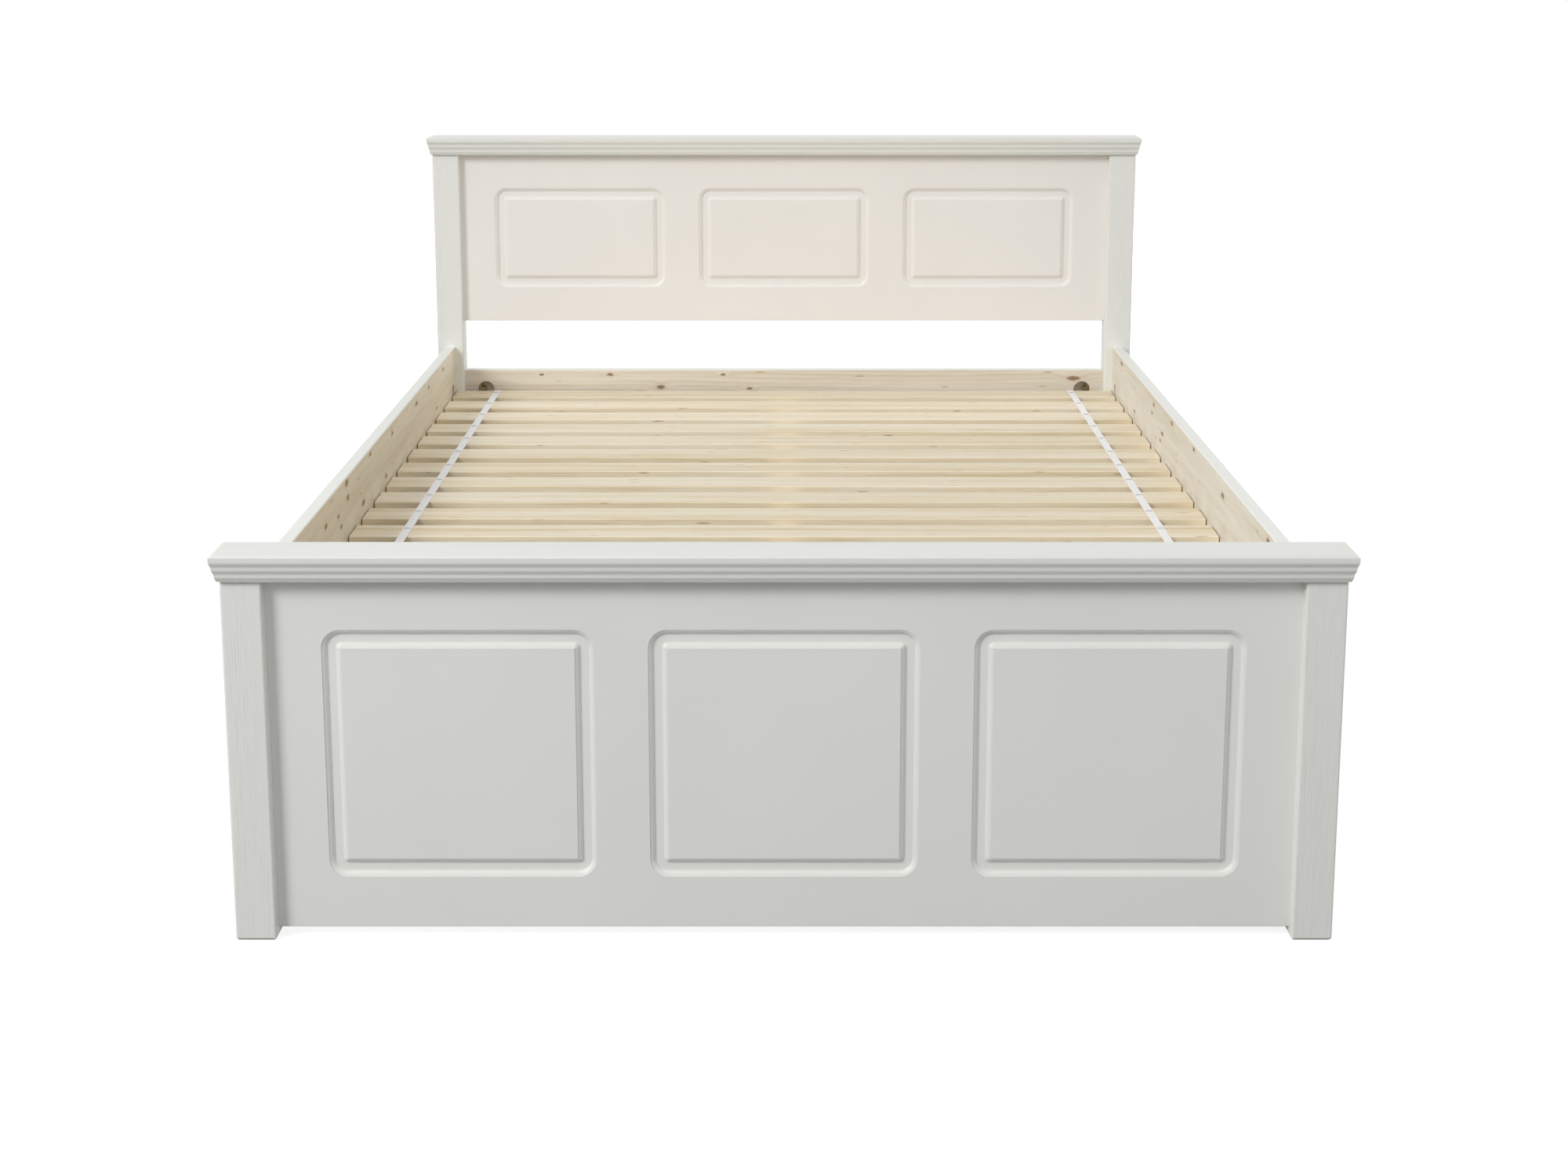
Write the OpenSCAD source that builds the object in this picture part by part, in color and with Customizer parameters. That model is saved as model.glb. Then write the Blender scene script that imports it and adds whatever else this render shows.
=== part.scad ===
// White country-style double bed with under-bed drawers.
// At each end two square posts carry a raised-and-fielded board and a reeded cap.
// Strips on the two side rails hold the loose pine slats, which two ribbons join.
// Two drawers on wheels roll out from under the right-hand side.
// X is the width, Y the length with the head end at +Y, Z points up from the floor.

/* [Mattress] */
// Width of the mattress between the side rails
mattress_w = 1400; // [1200:10:1800]
// Length of the mattress between the end posts
mattress_l = 2000; // [1900:10:2200]
// Free gap between the mattress and each side rail
mattress_side_gap = 2.5; // [1:0.5:10]
// Free gap between the mattress and the posts at each end
mattress_end_gap = 2.5; // [1:0.5:10]

/* [Posts] */
// Side of the square posts
post_w = 55; // [50:1:80]
// Height of the posts at the foot end, up to the cap
foot_post_h = 502; // [480:1:560]
// Height of the posts at the head end, up to the cap
head_post_h = 891; // [830:1:1100]
// Radius of the rounded long edges of a post
post_edge_r = 3.5; // [1:0.5:6]
// Chamfer around the bottom of a post
post_chamfer = 4; // [1:0.5:8]
// How far the outer face of a post stands out from the side rail
post_reveal = 15.5; // [6:0.5:20]

/* [Caps] */
// Height of the moulded cap on top of each end
cap_h = 36; // [34:1:50]
// Overhang of a cap past the front and back of the posts
cap_face_over = 17.5; // [14:0.5:30]
// Overhang of a cap past the outer sides of the posts
cap_end_over = 9; // [9:0.5:30]
// Width of the shallow bevel around the top of a cap
cap_bevel_w = 9; // [4:0.5:12]
// Fall of the shallow bevel around the top of a cap
cap_bevel_h = 2; // [1:0.25:3]
// Height of the underside of the square fascia over the bottom of the cap
cap_fascia_z = 25; // [24.5:0.25:27]
// Slanted edge under the fascia, its size each way
cap_fascia_chamfer = 2.8; // [1:0.1:4]
// Radius of the two reeds
reed_r = 5.5; // [5:0.1:6]
// Height of the middle of the lower reed over the bottom of the cap
reed_z = 11.5; // [10.5:0.1:12]
// Rise from the lower reed to the upper reed
reed_rise = 8.9; // [8:0.1:9.5]
// How far the upper reed lies inside the fascia
reed_inset = 3.2; // [2:0.1:4]
// How far each lower moulding steps in from the one above it
reed_step = 2.8; // [2:0.1:3.2]
// Radius of the small bead at the bottom of a cap
lip_r = 3.2; // [2:0.1:3.4]

/* [Boards] */
// Thickness of the boards at both ends
panel_t = 19; // [16:1:25]
// Radius of the eased long edges of the boards and the drawer fronts
board_edge_r = 1.5; // [0.5:0.5:4]
// Height of the bottom edge of the foot board over the floor
foot_panel_z = 13; // [5:1:40]
// Height of the bottom edge of the head board over the floor
head_panel_z = 536; // [500:1:600]
// Depth of the board in the groove of each post
panel_post_tongue = 10; // [6:0.5:12]
// Depth of the board in the groove under the cap
panel_cap_tongue = 8; // [4:0.5:12]
// Number of fields routed in each board
field_count = 3; // [1:1:5]
// Plain margin around and between the routed fields
field_margin = 72; // [50:1:90]
// Width of the routed groove around a raised field
groove_w = 25.3; // [20:0.1:30]
// Depth of the routed groove
groove_d = 6; // [5:0.1:8]
// Small square step at the top and bottom of the groove's sides
groove_step = 1.1; // [0.6:0.1:1.5]
// Width of the rounded side between the two steps
ovolo_w = 6.2; // [5:0.1:8]
// Width of the narrow shelf between the rounded side and the lower step
shelf_w = 0.6; // [0.5:0.1:1]

/* [Rails] */
// Thickness of the side rails and the head rail
rail_t = 22; // [20:1:28]
// Height of the side rails
rail_h = 180; // [160:5:185]
// Distance from the top of the foot posts down to the top edge of the side rails
rail_drop = 20; // [10:1:40]
// Radius of the rounded long edges of the rails
rail_edge_r = 3; // [1:0.5:5]
// Height of the head rail
head_rail_h = 86; // [80:1:100]
// How far the head rail reaches down past the underside of the slats
head_rail_drop = 23; // [17:1:25]
// Diameter of the round pocket around each connector nut
pocket_d = 35; // [30:1:40]
// Depth of the round pocket around each connector nut
pocket_depth = 18; // [17.5:0.5:18.5]
// Distance from the end of a side rail to the middle of its pocket
side_pocket_in = 51; // [45:1:70]
// Distance from the end of the head rail to the middle of its pocket
head_pocket_in = 44.5; // [40:0.5:70]

/* [Slats] */
// Number of slats
slat_count = 16; // [14:1:16]
// Width of a slat along the bed
slat_w = 80; // [60:1:90]
// Thickness of a slat
slat_t = 20; // [16:1:24]
// Radius of the rounded long edges of a slat
slat_edge_r = 2; // [1:0.5:4]
// Height of the underside of the slats over the bottom edge of the side rails
slat_in_rail = 65; // [63:1:73]
// Gap between a slat and the side rail at each end
slat_end_gap = 2.5; // [1:0.5:6]
// Gap between the first slat and the head posts
slat_head_gap = 0.5; // [0.5:0.5:20]
// Gap between the last slat and the foot posts
slat_foot_gap = 43; // [5:1:60]
// Width of the two ribbons that join the slats
ribbon_w = 14.5; // [10:0.5:20]
// Thickness of the ribbons
ribbon_t = 1; // [0.6:0.1:1.5]
// Distance from the end of the slats to the middle of each ribbon
ribbon_in = 86; // [60:1:150]
// Distance from the front edge of a slat to its staples
staple_in = 52; // [20:1:60]
// Length of a staple across the ribbon
staple_w = 10; // [6:0.5:12]
// Thickness of the staple wire
staple_t = 1.2; // [0.8:0.1:1.4]
// Length of the staple legs
staple_leg = 9; // [6:1:14]

/* [Slat supports] */
// Width of the strip under the slats on each side rail
ledge_w = 25; // [20:1:35]
// Height of the strip under the slats on each side rail
ledge_h = 30; // [24:1:40]
// Width of the beam under the middle of the slats
beam_w = 40; // [30:1:60]
// Height of the beam under the middle of the slats
beam_h = 60; // [50:1:62]
// Side of the square leg under the beam
leg_w = 45; // [40:1:60]
// Thickness of the steel hangers at the ends of the beam
hanger_t = 3; // [2:0.5:4]
// Depth of the shelf of a hanger under the beam
hanger_d = 40; // [30:1:60]
// Height of a hanger's cheeks beside the beam
hanger_cheek_h = 36; // [20:1:50]
// Width of a hanger's back plate past each cheek
hanger_ear = 14; // [12:1:20]

/* [Fixings] */
// Diameter of the connector bolts
bolt_d = 8; // [6:1:8]
// Depth of the side rails' connector bolts in the posts
bolt_in_post = 35; // [25:1:40]
// Depth of the head rail's connector bolts in the posts, short of the side rails' bolts
head_bolt_in_post = 22; // [18:0.5:22.5]
// Free gap around a bolt in its hole
bolt_gap = 0.4; // [0.2:0.1:1]
// Width across the flats of the connector nuts
nut_af = 13; // [12:1:14]
// Thickness of the connector nuts
nut_t = 6.5; // [5:0.5:7]
// Greatest thickness of the half-moon washers
washer_t = 8; // [6:0.5:9]
// Width of the half-moon washers across the rail
washer_w = 10; // [9:0.5:10]
// Diameter of the wooden dowels
dowel_d = 8; // [6:1:10]
// Depth of a dowel in each of the two pieces it joins
dowel_in = 20; // [15:1:25]
// Free gap around a dowel in its hole
dowel_gap = 0.1; // [0.05:0.05:0.3]
// Distance between the two dowels at the end of a side rail
side_dowel_pitch = 120; // [80:2:140]
// Distance between the two dowels at the end of the head rail
head_dowel_pitch = 56; // [44:1:62]
// Distance between the two dowels in the top of a post
cap_dowel_pitch = 32; // [30:1:34]
// Diameter of the wood screws' shanks
screw_d = 3.6; // [3:0.1:4.5]
// Diameter of the wood screws' heads
screw_head_d = 7.5; // [7:0.1:9]
// Depth of the screws in the side rails, past the strips
screw_in_rail = 14; // [8:1:16]
// Number of screws in each strip
ledge_screws = 8; // [4:1:12]
// Distance from the end of a strip to its first screw
ledge_screw_in = 60; // [20:5:100]

/* [Drawers] */
// Gap between the backs of the drawers and the leg under the middle beam
drawer_leg_gap = 49.5; // [10:0.5:150]
// Thickness of the drawer fronts
front_t = 19; // [16:1:22]
// Height of the bottom edge of the drawer fronts over the floor
front_z = 12; // [8:1:20]
// Gap between the top of the drawer fronts and the side rail
front_top_gap = 6; // [4:1:12]
// Gap between the drawer fronts and the posts
front_end_gap = 4; // [2:0.5:8]
// Gap between the two drawer fronts
front_mid_gap = 5; // [3:0.5:8]
// Number of fields routed in each drawer front
front_fields = 2; // [1:1:3]
// Width of the finger scoop in the top edge of a front
scoop_w = 120; // [100:5:160]
// Depth of the finger scoop in the top edge of a front
scoop_d = 22; // [15:1:30]
// Thickness of the drawer sides and backs
box_t = 16; // [12:1:18]
// Gap between the top of the drawer sides and the bottom edge of the side rail
box_top_gap = 62.5; // [20:0.5:120]
// How far the drawer sides stand in from the ends of the front
box_in = 12; // [6:1:20]
// Thickness of the drawer bottom boards
bottom_t = 6; // [4:1:8]
// Diameter of the castor wheels
wheel_d = 50; // [40:1:50]
// Width of the castor wheels
wheel_w = 20; // [16:1:24]
// Rounding of a wheel's tread at each side
wheel_edge_r = 3; // [1:0.5:5]
// Depth of the recess in each side of a wheel
wheel_recess = 3; // [1:0.5:5]
// Width of a wheel's rim at its sides
wheel_rim = 6; // [5:0.5:8]
// Diameter of a wheel's hub
hub_d = 18; // [14:1:22]
// Diameter of the castor axles
axle_d = 8; // [6:0.5:10]
// Running gap between an axle and its wheel
axle_gap = 0.06; // [0.03:0.01:0.1]
// Thickness of the castor forks
fork_t = 2; // [1.5:0.5:3]
// Gap between a wheel and its fork at each side and on top
fork_gap = 1.5; // [1:0.25:2]
// Distance from a drawer's front board and back to the castor axles
castor_in = 55; // [40:1:90]
// Distance from a drawer's sides to the middle of the wheels
castor_side_in = 18; // [18:1:60]

/* [Hidden] */
$fn = 64;
// Small overlap that keeps cuts clean
over = 1;
// Fit of the boards in their grooves, on each side and at the bottom
groove_fit = 0.2;
// How far the middle of a groove's rounded side lies behind the edge of the board's face
ovolo_back = 0.8;
// Gap between the strips under the slats and the posts
ledge_end_gap = 0.5;

// Plan of the frame
rail_in_x = mattress_w / 2 + mattress_side_gap;
rail_out_x = rail_in_x + rail_t;
rail_mid_x = rail_in_x + rail_t / 2;
post_out_x = rail_out_x + post_reveal;
post_in_x = post_out_x - post_w;
post_x = post_out_x - post_w / 2;
post_in_y = mattress_l / 2 + mattress_end_gap;
post_y = post_in_y + post_w / 2;
rail_top_z = foot_post_h - rail_drop;
rail_z = rail_top_z - rail_h;
rail_mid_z = rail_top_z - rail_h / 2;
slat_z = rail_z + slat_in_rail;
head_rail_z = slat_z - head_rail_drop;
head_rail_mid_z = head_rail_z + head_rail_h / 2;
head_rail_face_y = post_y - rail_t / 2;
foot_panel_back_y = -post_y + panel_t / 2;

// Slats
slat_l = 2 * (rail_in_x - slat_end_gap);
slat_top_z = slat_z + slat_t;
slat_first_y = post_in_y - slat_head_gap - slat_w / 2;
slat_last_y = -post_in_y + slat_foot_gap + slat_w / 2;
slat_pitch = (slat_first_y - slat_last_y) / (slat_count - 1);
ribbon_x = slat_l / 2 - ribbon_in;

// Beam and its hangers
beam_z = slat_z - beam_h;
leg_edge_r = 2;
hanger_rise = 14;
hanger_top_z = slat_z + hanger_rise;
hanger_screw_z = (head_rail_z + hanger_top_z) / 2;
hanger_screw_l = 18;
screw_head_h = 2;
screw_gap = 0.4;

// Connectors, measured from the middle of the pocket towards the post
pocket_r = pocket_d / 2;
washer_z = pocket_r - washer_t;
nut_z = washer_z - nut_t;
bolt_past_nut = 3;
bolt_hole_r = bolt_d / 2 + bolt_gap;
washer_gap = 0.1;
thread_gap = 0.1;

// Drawers
drawer_w = post_in_y - front_end_gap - front_mid_gap / 2;
drawer_y = (drawer_w + front_mid_gap) / 2;
front_back_x = rail_out_x - front_t;
drawer_back_x = leg_w / 2 + drawer_leg_gap;
front_top_z = rail_z - front_top_gap;
axle_z = wheel_d / 2;
fork_top_z = wheel_d + fork_gap + fork_t;
box_z = fork_top_z + bottom_t;
box_h = rail_z - box_top_gap - box_z;
box_w = drawer_w - 2 * box_in;
castor_y = box_w / 2 - castor_side_in;
castor_x = [drawer_back_x + castor_in, front_back_x - castor_in];
fork_w = wheel_w + 2 * fork_gap + 2 * fork_t;
fork_l = 44;
fork_eye_wall = 5;
fork_eye_r = axle_d / 2 + fork_eye_wall;
rivet_h = 1.5;
box_edge_r = 2;

// Colours as the eye sees them
white_paint = [0.86, 0.86, 0.84];
pine = [0.87, 0.77, 0.60];
pine_strip = [0.80, 0.69, 0.52];
beech = [0.78, 0.60, 0.42];
zinc = [0.62, 0.63, 0.65];
webbing = [0.88, 0.88, 0.90];
grey_plastic = [0.30, 0.31, 0.32];

function numbered(name, count) = [for (i = [1 : count]) str(name, i < 10 ? "0" : "", i)];
function drawer_nodes(name) = [
    for (piece = ["front", "left_side", "right_side", "back", "bottom", "castors"]) str(name, "_", piece),
    for (i = [1 : 4]) str(name, "_wheel_", i)
];

// Flat shapes

// Rectangle around the origin with true round corners
module rounded_rect(w, h, r) {
    square([w - 2 * r, h], center = true);
    square([w, h - 2 * r], center = true);
    for (x = [-1, 1], y = [-1, 1])
        translate([x * (w / 2 - r), y * (h / 2 - r)])
            circle(r = r);
}

// Height of the middle of the arc that runs from (0, top) to (run, low), with its middle at x = -back
function arc_middle(run, top, low, back) =
    ((run + back) * (run + back) - back * back + low * low - top * top) / (2 * (low - top));

// Rounded side that is left standing along one edge of the routed groove
module groove_side() {
    top = -groove_step;
    low = groove_step - groove_d;
    middle = arc_middle(ovolo_w, top, low, ovolo_back);
    width = over + ovolo_w + shelf_w;
    intersection() {
        translate([-ovolo_back, middle])
            circle(r = norm([ovolo_back, top - middle]), $fn = 160);
        translate([-over, low - groove_step / 2])
            square([width, groove_d]);
    }
    translate([-over, -groove_d - over])
        square([width, over + groove_step]);
}

// Cross-section of the routed groove: x runs outwards from the raised field, y = 0 is the board's face
module groove_section() {
    difference() {
        translate([0, -groove_d])
            square([groove_w, groove_d + over]);
        groove_side();
        translate([groove_w, 0])
            mirror([1, 0])
                groove_side();
    }
}

// Half of the cap's cross-section, from the middle line outwards; w is the full width
module cap_half_section(w) {
    edge = w / 2;
    upper_in = reed_inset + reed_r;
    lower_in = upper_in + reed_step;
    lip_in = reed_inset + 2 * reed_step + lip_r;
    polygon([
        [0, 0],
        [edge - lip_in, 0],
        [edge - lip_in, lip_r],
        [edge - lower_in, reed_z],
        [edge - upper_in, reed_z + reed_rise],
        [edge - upper_in, cap_fascia_z],
        [edge - cap_fascia_chamfer, cap_fascia_z],
        [edge, cap_fascia_z + cap_fascia_chamfer],
        [edge, cap_h - cap_bevel_h],
        [edge - cap_bevel_w, cap_h],
        [0, cap_h]
    ]);
    translate([edge - lip_in, lip_r])
        circle(r = lip_r);
    translate([edge - lower_in, reed_z])
        circle(r = reed_r);
    translate([edge - upper_in, reed_z + reed_rise])
        circle(r = reed_r);
}

module cap_section(w) {
    cap_half_section(w);
    mirror([1, 0])
        cap_half_section(w);
}

// Shared solids

// Bar along Y with rounded long edges, centred on x and z
module bar_y(w, h, l, r) {
    rotate([90, 0, 0])
        linear_extrude(height = l, center = true)
            rounded_rect(w, h, r);
}

// Bar along X with rounded long edges, centred on y and z
module bar_x(w, h, l, r) {
    rotate([0, 0, 90])
        bar_y(w, h, l, r);
}

// Groove routed around a raised field, cut into a face that lies in the XY plane and looks up
module field_groove(w, h) {
    field_w = w - 2 * groove_w;
    field_h = h - 2 * groove_w;
    for (turn = [0 : 3]) {
        a = turn % 2 == 0 ? field_w : field_h;
        b = turn % 2 == 0 ? field_h : field_w;
        rotate([0, 0, 90 * turn])
            translate([a / 2, b / 2, 0]) {
                rotate_extrude(angle = 90, $fn = 96)
                    groove_section();
                rotate([90, 0, 0])
                    linear_extrude(height = b)
                        groove_section();
            }
    }
}

// Row of grooves on the face of a board that spans w by h, with equal margins
module field_row(w, h, count) {
    field_w = (w - (count + 1) * field_margin) / count;
    field_h = h - 2 * field_margin;
    for (i = [0 : count - 1])
        translate([(i - (count - 1) / 2) * (field_w + field_margin), 0, 0])
            field_groove(field_w, field_h);
}

// Square post standing on the origin, with a small chamfer at its foot
module post_blank(h) {
    half = post_w / 2;
    intersection() {
        linear_extrude(height = h)
            rounded_rect(post_w, post_w, post_edge_r);
        rotate([90, 0, 0])
            linear_extrude(height = post_w + over, center = true)
                post_outline(h, half);
        rotate([90, 0, 90])
            linear_extrude(height = post_w + over, center = true)
                post_outline(h, half);
    }
}

module post_outline(h, half) {
    polygon([
        [-half + post_chamfer, 0],
        [half - post_chamfer, 0],
        [half, post_chamfer],
        [half, h],
        [-half, h],
        [-half, post_chamfer]
    ]);
}

// Places, shared by the pieces, their holes and their fixings

// Puts a fixing on the axis of each bolt: along +Z into the post, from the rail's end face
module at_side_rail_ends(side) {
    for (end = [-1, 1])
        translate([side * rail_mid_x, end * post_in_y, rail_mid_z])
            rotate([-90 * end, 0, 0])
                children();
}

module at_head_rail_ends() {
    for (side = [-1, 1])
        translate([side * post_in_x, post_y, head_rail_mid_z])
            rotate([0, 90 * side, 0])
                children();
}

module at_side_rail_dowels(side) {
    for (step = [-0.5, 0.5])
        translate([0, 0, step * side_dowel_pitch])
            at_side_rail_ends(side)
                children();
}

module at_head_rail_dowels() {
    for (step = [-0.5, 0.5])
        translate([0, 0, step * head_dowel_pitch])
            at_head_rail_ends()
                children();
}

module at_post_tops(end, h) {
    for (side = [-1, 1], step = [-0.5, 0.5])
        translate([side * post_x, end * post_y + step * cap_dowel_pitch, h])
            children();
}

module dowel() {
    translate([0, 0, -dowel_in])
        cylinder(d = dowel_d, h = 2 * dowel_in);
}

// A dowel hole is a little deeper than the dowel
module dowel_hole() {
    depth = dowel_in + over;
    translate([0, 0, -depth])
        cylinder(d = dowel_d + 2 * dowel_gap, h = 2 * depth);
}

// Posts

module post(side, end, h, panel_z) {
    color(white_paint)
        difference() {
            translate([side * post_x, end * post_y, 0])
                post_blank(h);
            // Groove for the board
            translate([side * (post_in_x + (panel_post_tongue + groove_fit - over) / 2), end * post_y, panel_z + h])
                cube([
                    panel_post_tongue + groove_fit + over,
                    panel_t + 2 * groove_fit,
                    2 * h
                ], center = true);
            at_side_rail_ends(side)
                cylinder(r = bolt_hole_r, h = bolt_in_post + over);
            at_side_rail_dowels(side)
                dowel_hole();
            at_post_tops(end, h)
                dowel_hole();
            if (end > 0) {
                at_head_rail_ends()
                    cylinder(r = bolt_hole_r, h = head_bolt_in_post + over);
                at_head_rail_dowels()
                    dowel_hole();
            }
        }
}

// Caps

module cap(end, z) {
    length = 2 * (post_out_x + cap_end_over);
    depth = post_w + 2 * cap_face_over;
    color(white_paint)
        difference() {
            translate([0, end * post_y, z])
                intersection() {
                    rotate([90, 0, 90])
                        linear_extrude(height = length, center = true)
                            cap_section(depth);
                    rotate([90, 0, 0])
                        linear_extrude(height = depth, center = true)
                            cap_section(length);
                }
            // Groove for the board
            translate([0, end * post_y, z])
                cube([
                    2 * (post_in_x + panel_post_tongue + groove_fit),
                    panel_t + 2 * groove_fit,
                    2 * (panel_cap_tongue + groove_fit)
                ], center = true);
            at_post_tops(end, z)
                dowel_hole();
        }
}

// Boards at the two ends; the fields face the foot of the bed

module end_panel(end, z, h) {
    w = 2 * post_in_x;
    blank_h = h - z + panel_cap_tongue;
    color(white_paint)
        difference() {
            translate([0, end * post_y, z + blank_h / 2])
                bar_x(panel_t, blank_h, w + 2 * panel_post_tongue, board_edge_r);
            translate([0, end * post_y - panel_t / 2, (z + h) / 2])
                rotate([90, 0, 0])
                    field_row(w, h - z, field_count);
        }
}

// Rails

module side_rail(side) {
    color(pine)
        difference() {
            translate([side * rail_mid_x, 0, rail_mid_z])
                bar_y(rail_t, rail_h, 2 * post_in_y, rail_edge_r);
            at_side_rail_ends(side)
                translate([0, 0, -side_pocket_in])
                    cylinder(r = bolt_hole_r, h = side_pocket_in + over);
            at_side_rail_dowels(side)
                dowel_hole();
            for (end = [-1, 1])
                translate([side * (rail_in_x + pocket_depth / 2), end * (post_in_y - side_pocket_in), rail_mid_z])
                    rotate([0, -90 * side, 0])
                        translate([0, 0, -pocket_depth / 2])
                            cylinder(r = pocket_r, h = pocket_depth + over);
        }
}

module head_rail() {
    color(pine)
        difference() {
            translate([0, post_y, head_rail_mid_z])
                bar_x(rail_t, head_rail_h, 2 * post_in_x, rail_edge_r);
            at_head_rail_ends()
                translate([0, 0, -head_pocket_in])
                    cylinder(r = bolt_hole_r, h = head_pocket_in + over);
            at_head_rail_dowels()
                dowel_hole();
            for (side = [-1, 1])
                translate([side * (post_in_x - head_pocket_in), head_rail_face_y - over, head_rail_mid_z])
                    rotate([-90, 0, 0])
                        cylinder(r = pocket_r, h = pocket_depth + over);
        }
}

// Slats and ribbons

module slat(i) {
    color(pine)
        translate([0, slat_first_y - (i - 1) * slat_pitch, slat_z + slat_t / 2])
            bar_x(slat_w, slat_t, slat_l, slat_edge_r);
}

module ribbon(side) {
    color(webbing)
        translate([side * ribbon_x - ribbon_w / 2, slat_last_y - slat_w / 2, slat_top_z])
            cube([ribbon_w, slat_first_y - slat_last_y + slat_w, ribbon_t]);
}

module staple() {
    difference() {
        translate([-staple_w / 2, -staple_t / 2, -staple_leg])
            cube([staple_w, staple_t, staple_leg + staple_t / 2]);
        translate([-staple_w / 2 + staple_t, -staple_t, -staple_leg - over])
            cube([staple_w - 2 * staple_t, 2 * staple_t, staple_leg + over]);
    }
}

module staples() {
    color(zinc)
        for (side = [-1, 1], i = [1 : slat_count])
            translate([
                side * ribbon_x,
                slat_first_y - (i - 1) * slat_pitch - slat_w / 2 + staple_in,
                slat_top_z + ribbon_t
            ])
                staple();
}

// Supports under the slats

module slat_ledge(side) {
    color(pine_strip)
        translate([side * (rail_in_x - ledge_w / 2), 0, slat_z - ledge_h / 2])
            cube([ledge_w, 2 * (post_in_y - ledge_end_gap), ledge_h], center = true);
}

// The beam runs between the back plates of its two hangers
module centre_beam() {
    y0 = foot_panel_back_y + hanger_t;
    y1 = head_rail_face_y - hanger_t;
    color(pine_strip)
        difference() {
            translate([-beam_w / 2, y0, beam_z])
                cube([beam_w, y1 - y0, beam_h]);
            translate([0, 0, beam_z])
                dowel_hole();
        }
}

// Steel hanger with its back plate on the XZ plane and its shelf towards +Y
module beam_hanger() {
    width = beam_w + 2 * hanger_t;
    plate_w = width + 2 * hanger_ear;
    shelf_z = beam_z - hanger_t;
    difference() {
        union() {
            translate([-plate_w / 2, 0, shelf_z])
                cube([plate_w, hanger_t, hanger_top_z - shelf_z]);
            translate([-width / 2, 0, shelf_z])
                cube([width, hanger_d, hanger_t]);
            for (x = [-width / 2, beam_w / 2])
                translate([x, 0, shelf_z])
                    cube([hanger_t, hanger_d, hanger_cheek_h + hanger_t]);
        }
        at_hanger_screws()
            cylinder(d = screw_d + 2 * screw_gap, h = 4 * hanger_t, center = true);
    }
}

// Puts a screw in each ear of a hanger: along +Z into the wall, from the plate's face
module at_hanger_screws() {
    for (side = [-1, 1])
        translate([side * (beam_w / 2 + hanger_t + hanger_ear / 2), hanger_t, hanger_screw_z])
            rotate([90, 0, 0])
                children();
}

module at_hangers() {
    translate([0, foot_panel_back_y, 0])
        children();
    translate([0, head_rail_face_y, 0])
        rotate([0, 0, 180])
            children();
}

module beam_hangers() {
    color(zinc)
        at_hangers()
            beam_hanger();
}

module centre_leg() {
    color(pine_strip)
        difference() {
            linear_extrude(height = beam_z)
                rounded_rect(leg_w, leg_w, leg_edge_r);
            translate([0, 0, beam_z])
                dowel_hole();
        }
}

// Fixings

// Each connector draws a rail's end against a post; z = 0 is the rail's end face
module at_connectors() {
    for (side = [-1, 1])
        at_side_rail_ends(side)
            translate([0, 0, -side_pocket_in])
                children();
    at_head_rail_ends()
        rotate([0, 0, 90])
            translate([0, 0, -head_pocket_in])
                children();
}

module connector_bolts() {
    color(zinc) {
        for (side = [-1, 1])
            at_side_rail_ends(side)
                connector_bolt(side_pocket_in, bolt_in_post);
        at_head_rail_ends()
            connector_bolt(head_pocket_in, head_bolt_in_post);
    }
}

module connector_bolt(pocket_in, post_in) {
    low = nut_z - bolt_past_nut - pocket_in;
    translate([0, 0, low])
        cylinder(d = bolt_d, h = post_in - low);
}

// Half-moon washers bear on the pocket's wall on the side of the post
module half_moon_washers() {
    color(zinc)
        at_connectors()
            difference() {
                rotate([0, 90, 0])
                    cylinder(r = pocket_r - washer_gap, h = washer_w, center = true);
                translate([-pocket_r, -pocket_r, washer_z - 2 * pocket_r])
                    cube(2 * pocket_r);
                cylinder(r = bolt_hole_r, h = pocket_r + over);
            }
}

module connector_nuts() {
    color(zinc)
        at_connectors()
            translate([0, 0, nut_z])
                rotate([0, 0, 30])
                    difference() {
                        cylinder(d = nut_af / cos(30), h = nut_t, $fn = 6);
                        translate([0, 0, -over])
                            cylinder(d = bolt_d + 2 * thread_gap, h = nut_t + 2 * over);
                    }
}

module dowels() {
    color(beech) {
        for (side = [-1, 1])
            at_side_rail_dowels(side)
                dowel();
        at_head_rail_dowels()
            dowel();
        at_post_tops(-1, foot_post_h)
            dowel();
        at_post_tops(1, head_post_h)
            dowel();
        translate([0, 0, beam_z])
            dowel();
    }
}

// Pan-head screw that goes into the wood along +Z, with its head on the surface
module wood_screw(length) {
    translate([0, 0, -screw_head_h])
        cylinder(d = screw_head_d, h = screw_head_h);
    cylinder(d = screw_d, h = length);
}

module wood_screws() {
    step = (2 * (post_in_y - ledge_end_gap - ledge_screw_in)) / (ledge_screws - 1);
    color(zinc) {
        for (side = [-1, 1], i = [0 : ledge_screws - 1])
            translate([
                side * (rail_in_x - ledge_w),
                (i - (ledge_screws - 1) / 2) * step,
                slat_z - ledge_h / 2
            ])
                rotate([0, 90 * side, 0])
                    wood_screw(ledge_w + screw_in_rail);
        at_hangers()
            at_hanger_screws()
                wood_screw(hanger_screw_l);
    }
}

// Drawers; end is 1 for the one at the head and -1 for the one at the foot

module at_drawer(end) {
    translate([0, end * drawer_y, 0])
        children();
}

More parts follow.
